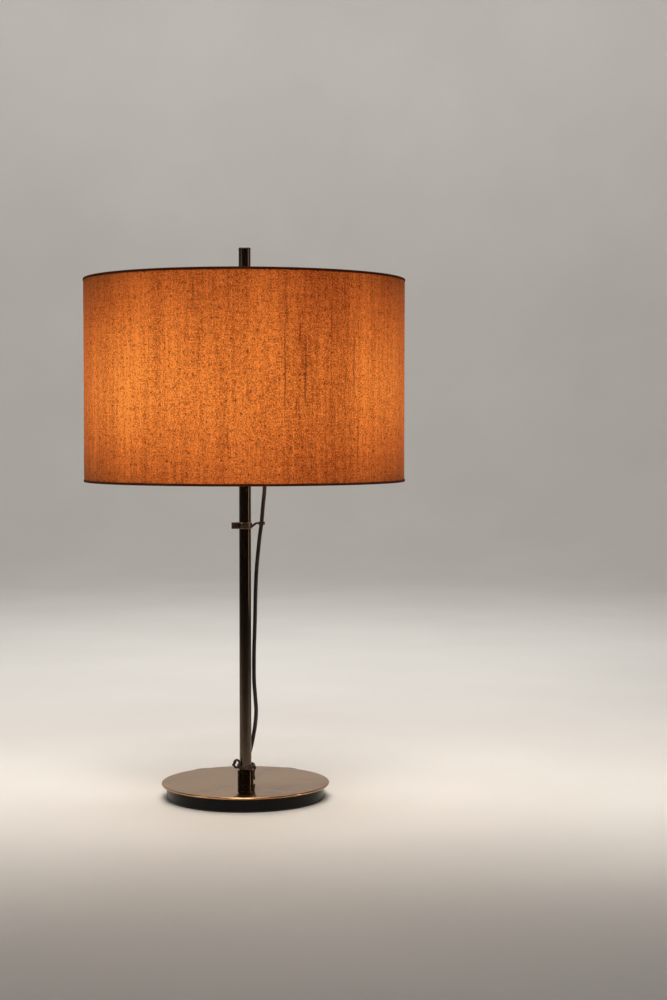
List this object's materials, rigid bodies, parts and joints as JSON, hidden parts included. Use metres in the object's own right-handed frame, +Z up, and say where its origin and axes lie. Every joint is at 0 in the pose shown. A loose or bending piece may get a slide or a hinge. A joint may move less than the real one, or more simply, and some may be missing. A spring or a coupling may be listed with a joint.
{
  "type": "table lamp",
  "caption": "Table lamp with a rust-coloured fabric drum shade that slides on a chrome pole, a round weighted foot, horizontal bulbs and a mains cord led down through a clip.",
  "frame": {"origin": "centre of the foot on the surface that the lamp stands on", "axes": "+Z up along the pole; +X towards the side of the pole where the cord hangs; the front, where the switch knob is, faces -Y"},
  "size_m": [0.4009, 0.4008, 0.69],
  "materials": {
    "chrome": "polished chrome plate with fine rubbing marks",
    "black_enamel": "black stoved enamel on cast iron",
    "felt": "black wool felt",
    "steel": "zinc-plated steel",
    "brass": "plain brass, slightly dulled",
    "bakelite": "dark brown moulded phenolic resin",
    "bulb_glass": "softly frosted glass, lit from inside",
    "shade_cloth": "raw silk with long slubs, rust orange, lit from inside",
    "shade_lining": "cream laminated card lining",
    "binding": "dark brown cloth binding",
    "ring_wire": "cream enamelled wire",
    "cord_sheath": "dark brown rubber cord",
    "tie_wire": "dark lacquered tie wire",
    "plug_moulding": "dark brown moulded plastic",
    "porcelain": "unglazed porcelain"
  },
  "bodies": {
    "foot": {"felt_pad": "felt", "base_weight": "black_enamel", "base_cover": "chrome", "base_washer": "steel", "base_nut": "steel", "tie_rod": "steel", "foot_bush": "steel", "collar": "chrome", "pole": "chrome", "pole_cap": "chrome", "foot_tie": "tie_wire", "clip_band": "steel", "clip_nut": "steel", "cord_run": "cord_sheath", "cord_hank": "cord_sheath", "cord_tail": "cord_sheath", "hank_tie": "plug_moulding", "plug_body": "plug_moulding", "plug_blades": "brass"},
    "clip_screw": {"clip_screw": "steel"},
    "carriage": {"slider_sleeve": "chrome", "hub_nut": "steel", "junction_box": "bakelite", "junction_lid": "bakelite", "lid_screws": "steel", "switch_body": "bakelite", "terminal_block": "porcelain", "lamp_leads": "cord_sheath", "holder_nipples": "brass", "right_holder": "bakelite", "left_holder": "bakelite", "right_contacts": "brass", "left_contacts": "brass", "cord_grip": "plug_moulding"},
    "slider_screw": {"slider_screw": "chrome"},
    "switch_knob": {"switch_knob": "bakelite"},
    "right_bulb": {"right_bulb_glass": "bulb_glass", "right_bulb_cap": "brass", "right_filament": "steel"},
    "left_bulb": {"left_bulb_glass": "bulb_glass", "left_bulb_cap": "brass", "left_filament": "steel"},
    "shade": {"shade_spider": "ring_wire", "top_ring": "ring_wire", "bottom_ring": "ring_wire", "shade_fabric": "shade_cloth", "shade_liner": "shade_lining", "top_trim": "binding", "bottom_trim": "binding"},
    "shade_ring": {"shade_ring": "chrome"}
  },
  "joints": [
    {"name": "shade_slide", "type": "slide", "parent": "foot", "child": "carriage", "axis": [0, 0, 1], "range_m": [-0.09, 0.03], "deforming": ["cord_run"]},
    {"name": "shade_turn", "type": "hinge", "parent": "carriage", "child": "shade", "pos_m": [0, 0, 0.631], "axis": [0, 0, 1], "continuous": true},
    {"name": "shade_ring_turn", "type": "hinge", "parent": "carriage", "child": "shade_ring", "pos_m": [0, 0, 0.636], "axis": [0, 0, 1], "range_deg": [0, 720]},
    {"name": "slider_screw_turn", "type": "hinge", "parent": "carriage", "child": "slider_screw", "pos_m": [0, -0.019, 0.472], "axis": [0, -1, 0], "range_deg": [0, 720]},
    {"name": "switch_turn", "type": "hinge", "parent": "carriage", "child": "switch_knob", "pos_m": [0, -0.037, 0.511], "axis": [0, -1, 0], "range_deg": [0, 90]},
    {"name": "right_bulb_turn", "type": "hinge", "parent": "carriage", "child": "right_bulb", "pos_m": [0.082, 0, 0.511], "axis": [1, 0, 0], "range_deg": [0, 1080]},
    {"name": "left_bulb_turn", "type": "hinge", "parent": "carriage", "child": "left_bulb", "pos_m": [-0.082, 0, 0.511], "axis": [-1, 0, 0], "range_deg": [0, 1080]},
    {"name": "clip_screw_turn", "type": "hinge", "parent": "foot", "child": "clip_screw", "pos_m": [-0.013, -0.0035, 0.343], "axis": [0, -1, 0], "range_deg": [0, 720]}
  ]
}
